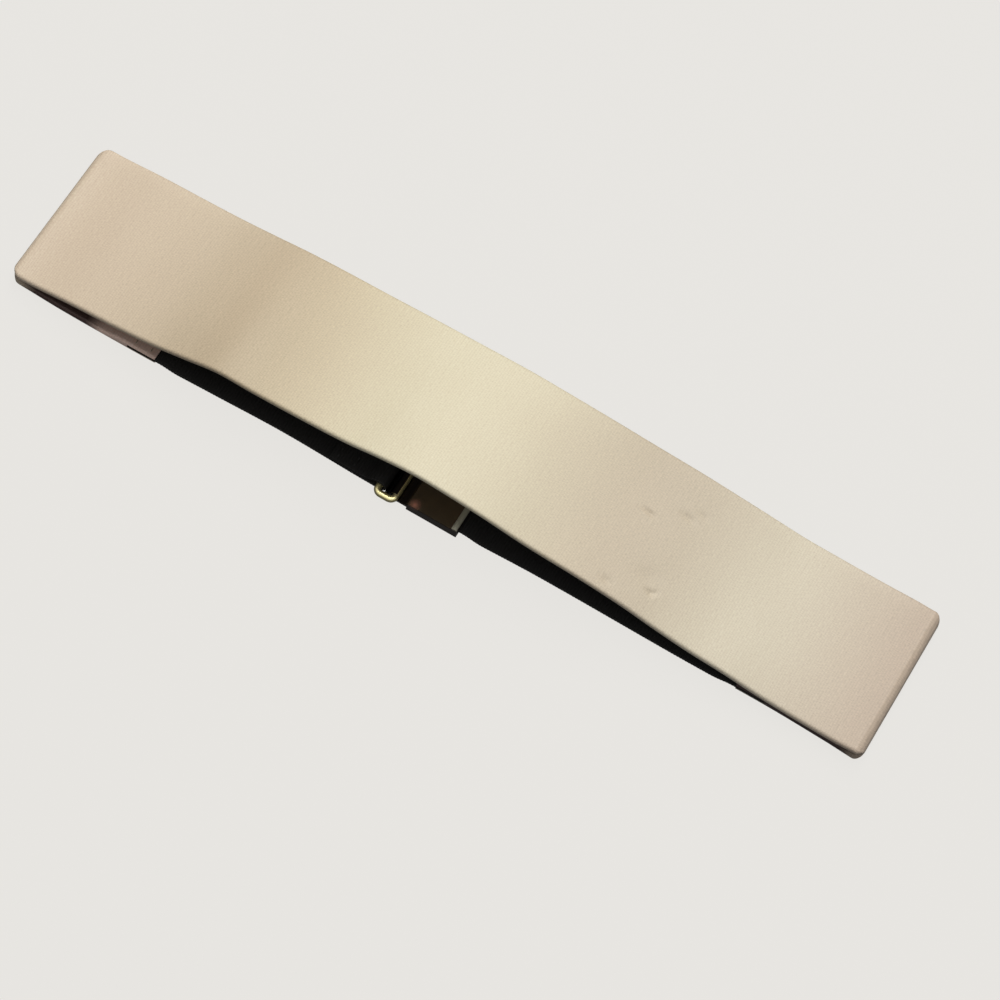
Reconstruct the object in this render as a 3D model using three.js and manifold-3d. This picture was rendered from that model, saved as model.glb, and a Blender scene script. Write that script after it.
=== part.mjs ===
// Elastic stretch belt, fastened, lying flat on its back portion. Millimetres, +Z up.
// The loop runs along X, its width runs along Y, and the surface that it lies on is Z = 0.
import * as THREE from 'three';
import { mergeVertices } from 'three/addons/utils/BufferGeometryUtils.js';
import Module from 'manifold-3d';

const wasm = await Module();
wasm.setup();

// Tan band: one thick woven strip that makes the front and wraps both end folds.
const loopLength = 335; // outside, from end fold to end fold
const bandWidth = 60;
const bandThickness = 2.4;
const rimRadius = 1.0; // rounding of the band's long edges
const leftCorner = 4.5; // radius, in plan, of the loop's two corners at the left fold
const rightCorner = 2.5;
const archHeight = 24; // underside of the near rim at the top of the arch
const leftFoldClear = 1.2; // clear height inside the left end fold
const rightFoldClear = 2.0;
const leftTab = 59.5; // band from the left fold to its sewn end on the back
const rightTab = 48;

// Sewn ends: the band parts into two leaves that hold the elastic between them.
const leafThickness = 1.0;
const slotDepth = 11;
const swellLength = 7; // run over which the band thickens to its sewn end

// Black elastic strips of the back.
const elasticThickness = 1.2;
const elasticRimRadius = 0.4;
const elasticWidth = bandWidth; // woven as wide as the band that it is sewn into
const settleLength = 10; // run over which a strip comes down to the surface
const eyeFoldBack = 20; // length turned back and sewn behind the eye
const eyeTaper = 8; // run over which the two layers of the eye close

// Two-part clasp of the back.
const barRadius = 1.3; // wire of the ring
const ringLength = 9.4; // outside, along the belt
const ringReach = 3.3; // how far the ring stands past each long edge of the elastic
const ringCorner = 3.2; // outside corner radius
const ringPlace = -15.4; // middle of the ring along the belt
const sheetThickness = 1.0;
const channelRoom = 0.6; // room beside each long edge of the elastic in the plate's channel
const cheekThickness = 0.6; // sides that close the channel
const plateEnd = 12.4; // lipped end of the plate along the belt
const throatLength = 6.4; // room in the hook for the ring's bar to slip out
const webLength = 2.2; // solid metal between the throat and the elastic's channel
const lipLength = 2.4;
const lipHeight = 0.7; // how far the lip stands above the plate
const hookTipAngle = 78; // degrees above the belt's line where the curl of the hook ends

const fit = 0.3; // gap between pieces that touch on the real belt

const halfLoop = loopLength / 2;
const halfWidth = bandWidth / 2;
const ringWidth = elasticWidth + 2 * ringReach;
const channelWidth = elasticWidth + 2 * channelRoom;
const plateWidth = channelWidth + 2 * cheekThickness;
const hookWidth = ringWidth - 4 * barRadius - 2 * fit; // passes between the ring's end bars
const sewnThickness = 2 * (leafThickness + fit) + elasticThickness;
const sewnLevel = leafThickness + fit + elasticThickness / 2;
const barHeight = elasticThickness + fit + barRadius;
const ringFarBar = ringPlace - ringLength / 2 + barRadius;
const ringHookBar = ringPlace + ringLength / 2 - barRadius;

// Height of the front panel's underside above the surface that the belt lies on, a row for each
// bend of its two rims. along is the place as a share of halfLoop; near and far are the heights
// at the two rims as shares of archHeight.
const archRows = [
  { along: -0.94, near: 0.165, far: 0.155 },
  { along: -0.85, near: 0.255, far: 0.215 },
  { along: -0.75, near: 0.32, far: 0.245 },
  { along: -0.66, near: 0.415, far: 0.28 },
  { along: -0.58, near: 0.565, far: 0.34 },
  { along: -0.5, near: 0.72, far: 0.41 },
  { along: -0.42, near: 0.72, far: 0.45 },
  { along: -0.3, near: 0.755, far: 0.48 },
  { along: -0.2, near: 0.815, far: 0.515 },
  { along: -0.12, near: 0.93, far: 0.535 },
  { along: -0.04, near: 1.0, far: 0.555 },
  { along: 0.04, near: 0.965, far: 0.565 },
  { along: 0.12, near: 0.9, far: 0.54 },
  { along: 0.22, near: 0.785, far: 0.5 },
  { along: 0.34, near: 0.715, far: 0.44 },
  { along: 0.44, near: 0.62, far: 0.395 },
  { along: 0.52, near: 0.49, far: 0.335 },
  { along: 0.6, near: 0.385, far: 0.27 },
  { along: 0.68, near: 0.33, far: 0.2 },
  { along: 0.76, near: 0.24, far: 0.185 },
  { along: 0.86, near: 0.18, far: 0.18 },
  { along: 0.94, near: 0.165, far: 0.195 },
];

// Small dents in the front panel. along and across are places as shares of halfLoop and
// halfWidth, depth is a share of bandThickness, and length and breadth are shares of bandWidth.
const dentRows = [
  { along: 0.39, across: 0.2, depth: 0.35, length: 0.12, breadth: 0.07 },
  { along: 0.46, across: 0.42, depth: 0.25, length: 0.16, breadth: 0.08 },
  { along: 0.39, across: -0.82, depth: 0.3, length: 0.08, breadth: 0.07 },
  { along: 0.48, across: -0.66, depth: 0.5, length: 0.09, breadth: 0.09 },
];

// Sideways wander of the back portion where it lies. along is a share of halfLoop and shift,
// towards the far rim, is a share of bandWidth.
const wanderRows = [
  { along: -1.0, shift: 0 },
  { along: -0.86, shift: -0.01 },
  { along: -0.66, shift: -0.008 },
  { along: -0.5, shift: 0.004 },
  { along: -0.34, shift: 0.015 },
  { along: -0.14, shift: 0.005 },
  { along: 0.08, shift: 0.005 },
  { along: 0.26, shift: 0.018 },
  { along: 0.58, shift: 0.016 },
  { along: 0.78, shift: 0.02 },
  { along: 0.92, shift: 0.01 },
  { along: 1.0, shift: 0 },
];

// Cubic curve through a table's rows, level at both ends.
function curveThrough(points, at) {
  const last = points.length - 1;
  if (at <= points[0].at) return points[0].value;
  if (at >= points[last].at) return points[last].value;
  let row = 0;
  while (points[row + 1].at < at) row += 1;
  const slope = (index) => {
    if (index === 0 || index === last) return 0;
    const before = points[index - 1];
    const after = points[index + 1];
    return (after.value - before.value) / (after.at - before.at);
  };
  const start = points[row];
  const end = points[row + 1];
  const run = end.at - start.at;
  const share = (at - start.at) / run;
  const left = 2 * share ** 3 - 3 * share ** 2 + 1;
  const leftSlope = share ** 3 - 2 * share ** 2 + share;
  const right = 3 * share ** 2 - 2 * share ** 3;
  const rightSlope = share ** 3 - share ** 2;
  return left * start.value + leftSlope * run * slope(row)
    + right * end.value + rightSlope * run * slope(row + 1);
}

function rimCurve(key) {
  const ends = [
    { at: -halfLoop + leftFoldClear / 2 + bandThickness, value: bandThickness + leftFoldClear },
    { at: halfLoop - rightFoldClear / 2 - bandThickness, value: bandThickness + rightFoldClear },
  ];
  const rows = archRows.map((row) => ({ at: row.along * halfLoop, value: row[key] * archHeight }));
  return [ends[0], ...rows, ends[1]];
}

const nearRim = rimCurve('near');
const farRim = rimCurve('far');
const backRoute = wanderRows.map((row) => (
  { at: row.along * halfLoop, value: row.shift * bandWidth }
));

function dentDepth(x, y) {
  let depth = 0;
  for (const dent of dentRows) {
    const run = (x - dent.along * halfLoop) / (dent.length * bandWidth);
    const rise = (y - dent.across * halfWidth) / (dent.breadth * bandWidth);
    depth += dent.depth * bandThickness * Math.exp(-(run * run) - (rise * rise));
  }
  return depth;
}

// Height of the middle of the front panel's thickness.
function panelHeight(x, y) {
  const share = (y + halfWidth) / bandWidth;
  const clear = (1 - share) * curveThrough(nearRim, x) + share * curveThrough(farRim, x);
  return clear + bandThickness / 2 - dentDepth(x, y);
}

// Outline of a strip's section: across is a place along Y, and out is the distance from the
// middle of the thickness, positive on the left hand of someone who walks along the strip.
function stripSection({ width, thickness, rim, strips }) {
  const edge = width / 2;
  const flat = edge - rim;
  const half = thickness / 2;
  const diagonal = rim * Math.SQRT1_2;
  const inner = [];
  inner.push({ across: -edge, out: -half + rim });
  inner.push({ across: -flat - diagonal, out: -half + rim - diagonal });
  for (let strip = 0; strip <= strips; strip += 1) {
    inner.push({ across: -flat + (2 * flat * strip) / strips, out: -half });
  }
  inner.push({ across: flat + diagonal, out: -half + rim - diagonal });
  inner.push({ across: edge, out: -half + rim });
  const outer = inner.map((point) => ({ across: -point.across, out: -point.out }));
  return [...inner, ...outer];
}

const bandStrip = { width: bandWidth, thickness: bandThickness, rim: rimRadius, strips: 12 };
const sewnStrip = { width: bandWidth, thickness: sewnThickness, rim: rimRadius, strips: 12 };
const elasticStrip = {
  width: elasticWidth, thickness: elasticThickness, rim: elasticRimRadius, strips: 2,
};

// Share of the strip's width that is left at a distance from the loop's end: its long edges
// draw in there, so the loop's corners are round in plan.
function widthShare(x, fromEnd) {
  const corner = x < 0 ? leftCorner : rightCorner;
  const inCorner = Math.max(0, corner - fromEnd);
  const draw = corner - Math.sqrt(corner ** 2 - inCorner ** 2);
  return 1 - draw / halfWidth;
}

// A station where the strip's middle is at x and z and it runs along heading, in radians from +X.
function stationAt(strip, x, z, heading, fromEnd = halfLoop - Math.abs(x)) {
  const shift = curveThrough(backRoute, x);
  return stripSection(strip).map((point) => new THREE.Vector3(
    x - point.out * Math.sin(heading),
    shift + point.across * widthShare(x, fromEnd),
    z + point.out * Math.cos(heading),
  ));
}

// A station of the band on the back: level, with its outer face down on the surface.
function backStation(x, strip) {
  return stationAt(strip, x, strip.thickness / 2, Math.PI);
}

// A station on an end fold. turn runs from 0 on the back to 1 on the front.
function foldStation(side, clear, turn) {
  const radius = (clear + bandThickness) / 2;
  const middle = halfLoop - radius - bandThickness / 2;
  const angle = Math.PI * turn;
  const x = side * (middle + radius * Math.sin(angle));
  const z = bandThickness + clear / 2 - radius * Math.cos(angle);
  const heading = side < 0 ? Math.PI - angle : angle - Math.PI;
  const fromEnd = (radius + bandThickness / 2) * (1 - Math.sin(angle));
  return stationAt(bandStrip, x, z, heading, fromEnd);
}

// Stations along a route in the XZ plane, each run of it in a few steps.
function stationsAlong(strip, route) {
  const stepLength = 12;
  const bendSteps = 8;
  const stations = [];
  route.curves.forEach((curve, run) => {
    const straight = curve instanceof THREE.LineCurve;
    const steps = straight ? Math.max(1, Math.round(curve.getLength() / stepLength)) : bendSteps;
    for (let step = run === 0 ? 0 : 1; step <= steps; step += 1) {
      const point = curve.getPoint(step / steps);
      const tangent = curve.getTangent(step / steps);
      stations.push(stationAt(strip, point.x, point.y, Math.atan2(tangent.y, tangent.x)));
    }
  });
  return stations;
}

// A station on the front panel, square to the panel's own slope.
function panelStation(x) {
  const step = 0.5;
  return stripSection(bandStrip).map((point) => {
    const y = point.across;
    const rise = (panelHeight(x + step, y) - panelHeight(x - step, y)) / (2 * step);
    const length = Math.hypot(1, rise);
    const height = panelHeight(x, y);
    return new THREE.Vector3(
      x - (point.out * rise) / length,
      y * widthShare(x, halfLoop - Math.abs(x)),
      height + point.out / length,
    );
  });
}

// Triangles of a flat end, each turning the same way as the station's own outline.
function endFace(station) {
  const outline = station.map((point) => new THREE.Vector2(point.y, point.z));
  const turn = Math.sign(THREE.ShapeUtils.area(outline));
  return THREE.ShapeUtils.triangulateShape(outline, []).map(([a, b, c]) => {
    const corner = THREE.ShapeUtils.area([outline[a], outline[b], outline[c]]);
    return Math.sign(corner) === turn ? [a, b, c] : [a, c, b];
  });
}

// Closed solid through the stations, with flat ends.
function loft(stations) {
  const sides = stations[0].length;
  const positions = stations.flat().flatMap((point) => [point.x, point.y, point.z]);
  const index = [];
  for (let station = 0; station < stations.length - 1; station += 1) {
    for (let side = 0; side < sides; side += 1) {
      const next = (side + 1) % sides;
      const a = station * sides + side;
      const b = station * sides + next;
      index.push(a, b, a + sides, b, b + sides, a + sides);
    }
  }
  const base = (stations.length - 1) * sides;
  for (const [a, b, c] of endFace(stations[0])) index.push(a, c, b);
  for (const [a, b, c] of endFace(stations.at(-1))) index.push(base + a, base + b, base + c);
  const geometry = new THREE.BufferGeometry();
  geometry.setAttribute('position', new THREE.Float32BufferAttribute(positions, 3));
  geometry.setIndex(index);
  return geometry;
}

function toSolid(geometry) {
  const bare = geometry.clone();
  for (const name of Object.keys(bare.attributes)) {
    if (name !== 'position') bare.deleteAttribute(name);
  }
  const merged = mergeVertices(bare, 1e-4);
  return new wasm.Manifold(new wasm.Mesh({
    numProp: 3,
    vertProperties: Float32Array.from(merged.attributes.position.array),
    triVerts: Uint32Array.from(merged.index.array),
  }));
}

function toGeometry(solid) {
  const mesh = solid.getMesh();
  const geometry = new THREE.BufferGeometry();
  geometry.setAttribute('position', new THREE.Float32BufferAttribute(mesh.vertProperties, 3));
  geometry.setIndex(new THREE.Uint32BufferAttribute(mesh.triVerts, 1));
  return geometry;
}

// Solid whose profile in the XZ plane runs the given width across the belt.
function acrossBelt(shape, width, curveSegments = 6) {
  const geometry = new THREE.ExtrudeGeometry(shape, {
    depth: width, steps: 1, bevelEnabled: false, curveSegments,
  });
  geometry.rotateX(Math.PI / 2);
  geometry.translate(0, width / 2, 0);
  return geometry;
}

// Solid block between two opposite corners.
function blockBetween(low, high) {
  const size = high.map((value, axis) => value - low[axis]);
  const middle = high.map((value, axis) => (value + low[axis]) / 2);
  const block = new THREE.BoxGeometry(...size);
  block.translate(...middle);
  return toSolid(block);
}

function namedMesh(name, geometry, material) {
  const mesh = new THREE.Mesh(geometry, material);
  mesh.name = name;
  return mesh;
}

const tanWebbing = new THREE.MeshStandardMaterial({ color: 0xd2c1a5, roughness: 0.75, metalness: 0 });
const blackElastic = new THREE.MeshStandardMaterial({ color: 0x191916, roughness: 0.85, metalness: 0 });
const goldMetal = new THREE.MeshStandardMaterial({ color: 0xd8b56a, roughness: 0.22, metalness: 1 });

// The tan band, from its sewn end on the left of the back, round the left fold, along the
// front and round the right fold to its sewn end on the right of the back.
function makeTanBand() {
  const foldSteps = 8;
  const panelSteps = 74;
  const leftEnd = -halfLoop + leftTab;
  const rightEnd = halfLoop - rightTab;
  const leftFold = -halfLoop + leftFoldClear / 2 + bandThickness;
  const rightFold = halfLoop - rightFoldClear / 2 - bandThickness;
  const sewnRun = slotDepth + fit + bandThickness;
  const stations = [];
  stations.push(backStation(leftEnd, sewnStrip));
  stations.push(backStation(leftEnd - sewnRun, sewnStrip));
  stations.push(backStation(leftEnd - sewnRun - swellLength, bandStrip));
  stations.push(backStation((leftEnd - sewnRun - swellLength + leftFold) / 2, bandStrip));
  for (let step = 0; step < foldSteps; step += 1) {
    stations.push(foldStation(-1, leftFoldClear, step / foldSteps));
  }
  for (let step = 0; step <= panelSteps; step += 1) {
    stations.push(panelStation(leftFold + ((rightFold - leftFold) * step) / panelSteps));
  }
  for (let step = foldSteps - 1; step >= 0; step -= 1) {
    stations.push(foldStation(1, rightFoldClear, step / foldSteps));
  }
  stations.push(backStation(rightEnd + sewnRun + swellLength, bandStrip));
  stations.push(backStation(rightEnd + sewnRun, sewnStrip));
  stations.push(backStation(rightEnd, sewnStrip));
  let band = toSolid(loft(stations));
  const slotHeight = elasticThickness + 2 * fit;
  const past = 2;
  const slots = [
    { start: leftEnd - slotDepth, end: leftEnd + past },
    { start: rightEnd - past, end: rightEnd + slotDepth },
  ];
  for (const { start, end } of slots) {
    band = band.subtract(blockBetween(
      [start, -halfWidth - past, leafThickness],
      [end, halfWidth + past, leafThickness + slotHeight],
    ));
  }
  return namedMesh('tan_band', toGeometry(band), tanWebbing);
}

// Left strip: from the left sewn end to the ring, round the ring's far bar, folded back and sewn.
function makeElasticLeft() {
  const sewnEnd = -halfLoop + leftTab - slotDepth + fit;
  const mouth = -halfLoop + leftTab + fit;
  const settled = mouth + settleLength;
  const onSurface = elasticThickness / 2;
  const onStrip = elasticThickness + fit + elasticThickness / 2;
  const eyeRadius = barRadius + fit + elasticThickness / 2;
  const eyeTop = barHeight + eyeRadius;
  const crotch = ringFarBar - eyeTaper;
  const half = settleLength / 2;
  const route = new THREE.Path();
  route.moveTo(sewnEnd, sewnLevel);
  route.lineTo(mouth, sewnLevel);
  route.bezierCurveTo(mouth + half, sewnLevel, settled - half, onSurface, settled, onSurface);
  route.lineTo(ringFarBar, onSurface);
  route.absarc(ringFarBar, barHeight, eyeRadius, -Math.PI / 2, Math.PI / 2, false);
  route.bezierCurveTo(
    ringFarBar - eyeTaper / 2, eyeTop,
    crotch + eyeTaper / 2, onStrip,
    crotch, onStrip,
  );
  route.lineTo(ringFarBar - eyeFoldBack, onStrip);
  return namedMesh('elastic_left', loft(stationsAlong(elasticStrip, route)), blackElastic);
}

// Right strip: from the plate's channel to the right sewn end.
function makeElasticRight() {
  const inChannel = barHeight - barRadius + elasticThickness / 2;
  const channelEnd = ringHookBar - barRadius - fit + throatLength + webLength;
  const plateMouth = plateEnd + fit;
  const settled = plateMouth + settleLength;
  const onSurface = elasticThickness / 2;
  const bandMouth = halfLoop - rightTab - fit;
  const rising = bandMouth - settleLength;
  const half = settleLength / 2;
  const route = new THREE.Path();
  route.moveTo(channelEnd + fit, inChannel);
  route.lineTo(plateMouth, inChannel);
  route.bezierCurveTo(plateMouth + half, inChannel, settled - half, onSurface, settled, onSurface);
  route.lineTo(rising, onSurface);
  route.bezierCurveTo(rising + half, onSurface, bandMouth - half, sewnLevel, bandMouth, sewnLevel);
  route.lineTo(halfLoop - rightTab + slotDepth - fit, sewnLevel);
  return namedMesh('elastic_right', loft(stationsAlong(elasticStrip, route)), blackElastic);
}

// Closed wire ring, a long rectangle with round corners.
function makeClaspRing() {
  const wireSides = 12;
  const cornerSteps = 4;
  const bend = ringCorner - barRadius;
  const halfLength = ringLength / 2 - ringCorner;
  const halfSpan = ringWidth / 2 - ringCorner;
  const corners = [[1, 1], [-1, 1], [-1, -1], [1, -1]];
  const route = [];
  corners.forEach(([sideX, sideY], corner) => {
    for (let step = 0; step <= cornerSteps; step += 1) {
      const angle = (Math.PI / 2) * (corner + step / cornerSteps);
      const heading = new THREE.Vector2(Math.cos(angle), Math.sin(angle));
      route.push({ x: sideX * halfLength, y: sideY * halfSpan, heading });
    }
  });
  const positions = [];
  for (const { x, y, heading } of route) {
    for (let side = 0; side < wireSides; side += 1) {
      const turn = (2 * Math.PI * side) / wireSides;
      const reach = bend + barRadius * Math.cos(turn);
      positions.push(ringPlace + x + reach * heading.x, y + reach * heading.y);
      positions.push(barHeight + barRadius * Math.sin(turn));
    }
  }
  const index = [];
  for (let place = 0; place < route.length; place += 1) {
    for (let side = 0; side < wireSides; side += 1) {
      const a = place * wireSides + side;
      const b = place * wireSides + ((side + 1) % wireSides);
      const c = ((place + 1) % route.length) * wireSides + side;
      const d = ((place + 1) % route.length) * wireSides + ((side + 1) % wireSides);
      index.push(a, c, b, b, c, d);
    }
  }
  const geometry = new THREE.BufferGeometry();
  geometry.setAttribute('position', new THREE.Float32BufferAttribute(positions, 3));
  geometry.setIndex(index);
  return namedMesh('clasp_ring', geometry, goldMetal);
}

// Hook plate: a base that reaches under the ring as far as the eye, a curl that hooks over the
// ring's near bar, a solid web, and a channel with a lip that grips the right strip's end. The
// plate is wider than its hook, and a cheek closes the channel at each side.
function makeClaspHook() {
  const inner = barRadius + fit;
  const outer = inner + sheetThickness;
  const under = barHeight - outer;
  const channelFloor = barHeight - inner;
  const channelTop = channelFloor + elasticThickness + 2 * fit;
  const plateTop = channelTop + sheetThickness;
  const webStart = ringHookBar - inner + throatLength;
  const webEnd = webStart + webLength;
  const eyeReach = inner + elasticThickness + fit;
  const baseStart = ringFarBar + Math.sqrt(eyeReach ** 2 - inner ** 2);
  const baseAngle = Math.PI + Math.asin(inner / outer);
  const tip = THREE.MathUtils.degToRad(hookTipAngle);
  const round = sheetThickness / 2;
  const profile = new THREE.Shape();
  profile.moveTo(plateEnd, under);
  profile.lineTo(plateEnd, channelFloor);
  profile.lineTo(webEnd, channelFloor);
  profile.lineTo(webEnd, channelTop);
  profile.lineTo(plateEnd, channelTop);
  profile.lineTo(plateEnd, plateTop + lipHeight / 2);
  profile.bezierCurveTo(
    plateEnd, plateTop + lipHeight,
    plateEnd - lipLength, plateTop + lipHeight,
    plateEnd - lipLength, plateTop,
  );
  profile.lineTo(webStart + round, plateTop);
  profile.quadraticCurveTo(webStart, plateTop, webStart, plateTop - round);
  profile.lineTo(webStart, channelFloor);
  profile.absarc(ringHookBar, barHeight, inner, -Math.PI / 2, tip - 2 * Math.PI, true);
  profile.absarc(ringHookBar, barHeight, outer, tip, baseAngle, false);
  profile.lineTo(baseStart, channelFloor);
  profile.lineTo(baseStart, under);
  profile.closePath();
  let plate = toSolid(acrossBelt(profile, plateWidth, 8));
  const past = 1;
  const spanAt = (side, from, to) => (side > 0 ? [from, to] : [-to, -from]);
  for (const side of [-1, 1]) {
    const [cheekNear, cheekFar] = spanAt(side, channelWidth / 2, plateWidth / 2);
    plate = plate.add(blockBetween(
      [webEnd - round, cheekNear, channelFloor - round],
      [plateEnd, cheekFar, channelTop + round],
    ));
    const [cutNear, cutFar] = spanAt(side, hookWidth / 2, plateWidth / 2 + past);
    plate = plate.subtract(blockBetween(
      [baseStart - past, cutNear, under - past],
      [webStart, cutFar, plateTop + past],
    ));
  }
  return namedMesh('clasp_hook', toGeometry(plate), goldMetal);
}

const belt = new THREE.Group();
belt.add(makeTanBand(), makeElasticLeft(), makeElasticRight(), makeClaspRing(), makeClaspHook());

export default belt;
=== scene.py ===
"""Looks of an elastic stretch belt, fastened and lying on its back portion."""
import math

import bpy
import numpy as np
from mathutils import Matrix


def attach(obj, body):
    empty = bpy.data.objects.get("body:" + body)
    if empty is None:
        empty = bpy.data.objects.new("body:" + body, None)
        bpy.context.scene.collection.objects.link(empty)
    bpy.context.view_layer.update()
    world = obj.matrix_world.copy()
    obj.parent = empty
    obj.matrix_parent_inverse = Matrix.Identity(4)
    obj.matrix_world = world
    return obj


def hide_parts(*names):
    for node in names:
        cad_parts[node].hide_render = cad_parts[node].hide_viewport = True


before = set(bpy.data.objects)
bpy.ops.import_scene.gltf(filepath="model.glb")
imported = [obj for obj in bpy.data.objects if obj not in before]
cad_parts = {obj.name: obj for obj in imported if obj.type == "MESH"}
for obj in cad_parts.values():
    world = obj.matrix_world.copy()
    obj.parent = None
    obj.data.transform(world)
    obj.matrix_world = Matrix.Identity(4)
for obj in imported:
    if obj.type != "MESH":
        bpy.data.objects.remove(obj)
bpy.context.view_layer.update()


# Studio. A plain pale floor that glows softly like a light table, so shadows on it stay faint, a
# dim room whose ceiling shows brighter in reflections, a wide soft lamp overhead, and a lamp high
# behind the belt that draws the satin sheen of the webbing.
pale = (0.8, 0.784, 0.754)
glow_share = 0.965
lit_share = 0.035
bpy.ops.object.select_all(action="DESELECT")
bpy.ops.mesh.primitive_plane_add(size=9, location=(0, 0, -0.0001))
floor = bpy.context.object
floor.name = "studio_floor"
floor_paint = bpy.data.materials.new("studio_floor_paint")
floor_paint.use_nodes = True
floor_shader = floor_paint.node_tree.nodes["Principled BSDF"]
floor_shader.inputs["Base Color"].default_value = (*(lit_share * value for value in pale), 1)
floor_shader.inputs["Roughness"].default_value = 0.95
floor_shader.inputs["Specular IOR Level"].default_value = 0.0
floor_shader.inputs["Emission Color"].default_value = (*pale, 1)
floor_shader.inputs["Emission Strength"].default_value = glow_share
floor.data.materials.append(floor_paint)
floor.visible_diffuse = False
floor.visible_glossy = False

room = bpy.data.worlds.new("dim_room")
room.use_nodes = True
room_light = room.node_tree.nodes["Background"]
room_light.inputs["Color"].default_value = (0.97, 0.98, 1.0, 1)
room_light.inputs["Strength"].default_value = 0.2
reflected_room = room.node_tree.nodes.new("ShaderNodeBackground")
ray_way = room.node_tree.nodes.new("ShaderNodeTexCoord")
ray_parts = room.node_tree.nodes.new("ShaderNodeSeparateXYZ")
room.node_tree.links.new(ray_way.outputs["Generated"], ray_parts.inputs[0])
ceiling = room.node_tree.nodes.new("ShaderNodeMapRange")
ceiling.inputs["From Min"].default_value = 0.2
ceiling.inputs["From Max"].default_value = 0.75
ceiling.inputs["To Min"].default_value = 0.08
ceiling.inputs["To Max"].default_value = 1.0
room.node_tree.links.new(ray_parts.outputs["Z"], ceiling.inputs["Value"])
room.node_tree.links.new(ceiling.outputs[0], reflected_room.inputs["Strength"])
reflected_room.inputs["Color"].default_value = (1.0, 1.0, 0.98, 1)
backdrop = room.node_tree.nodes.new("ShaderNodeBackground")
backdrop.inputs["Color"].default_value = (*pale, 1)
lit_or_reflected = room.node_tree.nodes.new("ShaderNodeMixShader")
seen_or_felt = room.node_tree.nodes.new("ShaderNodeMixShader")
ray = room.node_tree.nodes.new("ShaderNodeLightPath")
room.node_tree.links.new(ray.outputs["Is Glossy Ray"], lit_or_reflected.inputs[0])
room.node_tree.links.new(room_light.outputs[0], lit_or_reflected.inputs[1])
room.node_tree.links.new(reflected_room.outputs[0], lit_or_reflected.inputs[2])
room.node_tree.links.new(ray.outputs["Is Camera Ray"], seen_or_felt.inputs[0])
room.node_tree.links.new(lit_or_reflected.outputs[0], seen_or_felt.inputs[1])
room.node_tree.links.new(backdrop.outputs[0], seen_or_felt.inputs[2])
room.node_tree.links.new(seen_or_felt.outputs[0], room.node_tree.nodes["World Output"].inputs["Surface"])
bpy.context.scene.world = room
bpy.context.scene.view_settings.view_transform = "Standard"


def soft_lamp(name, place, aim, size, watts, tint):
    """Square soft lamp at a place, turned towards the point that it lights."""
    direction = np.array(aim) - np.array(place)
    pan = math.atan2(direction[1], direction[0]) - math.pi / 2
    tilt = math.atan2(math.hypot(direction[0], direction[1]), -direction[2])
    bpy.ops.object.light_add(type="AREA", location=place, rotation=(tilt, 0, pan))
    lamp = bpy.context.object
    lamp.name = name
    lamp.data.size = size
    lamp.data.energy = watts
    lamp.data.color = tint
    return lamp


soft_lamp("sky_lamp", (0.1, 0.7, 2.9), (0, 0, 0), 2.0, 59.5, (1.0, 0.99, 0.97))
soft_lamp("sheen_lamp", (-0.35, 1.75, 1.77), (-0.01, 0, 0.02), 1.0, 30, (1.0, 0.98, 0.93))

camera_turn = (
    Matrix.Rotation(0.15545, 4, "Y") @ Matrix.Rotation(0.41962, 4, "X") @ Matrix.Rotation(0.57952, 4, "Z")
)
camera_reach = 1.27414
camera_place = Matrix.Translation((0.0181, -0.01089, 0)) @ camera_turn @ Matrix.Translation((0, 0, camera_reach))
bpy.ops.object.camera_add()
camera = bpy.context.object
camera.name = "photo_camera"
camera.matrix_world = camera_place
camera.data.lens = 135
camera.data.sensor_width = 36
bpy.context.scene.camera = camera


# Tan band. One strip of thick stretch webbing, woven with fine ribs across its width. It makes
# the front, wraps both end folds and runs in under the front, where its two ends part into
# leaves that are sewn over the black elastic. Sizes are in millimetres until the mesh is set.
half_loop = 167.5
band_width = 60.0
band_thickness = 2.4
rim_radius = 1.15
left_corner = 4.5
right_corner = 2.5
left_clear = 1.2
right_clear = 2.0
left_tab = 59.5
right_tab = 48.0
leaf = 1.0
slot_depth = 11.0
swell = 7.0
elastic_thickness = 1.2
fit = 0.3
sewn_thickness = 2 * (leaf + fit) + elastic_thickness
arch_height = 24.0
arch_rows = [
    # along the half loop, clear height under the near rim, under the far rim
    (-0.94, 0.165, 0.155),
    (-0.85, 0.255, 0.215),
    (-0.75, 0.32, 0.245),
    (-0.66, 0.415, 0.28),
    (-0.58, 0.565, 0.34),
    (-0.5, 0.72, 0.41),
    (-0.42, 0.72, 0.45),
    (-0.3, 0.755, 0.48),
    (-0.2, 0.815, 0.515),
    (-0.12, 0.93, 0.535),
    (-0.04, 1.0, 0.555),
    (0.04, 0.965, 0.565),
    (0.12, 0.9, 0.54),
    (0.22, 0.785, 0.5),
    (0.34, 0.715, 0.44),
    (0.44, 0.62, 0.395),
    (0.52, 0.49, 0.335),
    (0.6, 0.385, 0.27),
    (0.68, 0.33, 0.2),
    (0.76, 0.24, 0.185),
    (0.86, 0.18, 0.18),
    (0.94, 0.165, 0.195),
]
wander_rows = [
    # along the half loop, sideways shift of the back portion as a share of the width
    (-1.0, 0.0),
    (-0.86, -0.01),
    (-0.66, -0.008),
    (-0.5, 0.004),
    (-0.34, 0.015),
    (-0.14, 0.005),
    (0.08, 0.005),
    (0.26, 0.018),
    (0.58, 0.016),
    (0.78, 0.02),
    (0.92, 0.01),
    (1.0, 0.0),
]
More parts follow.
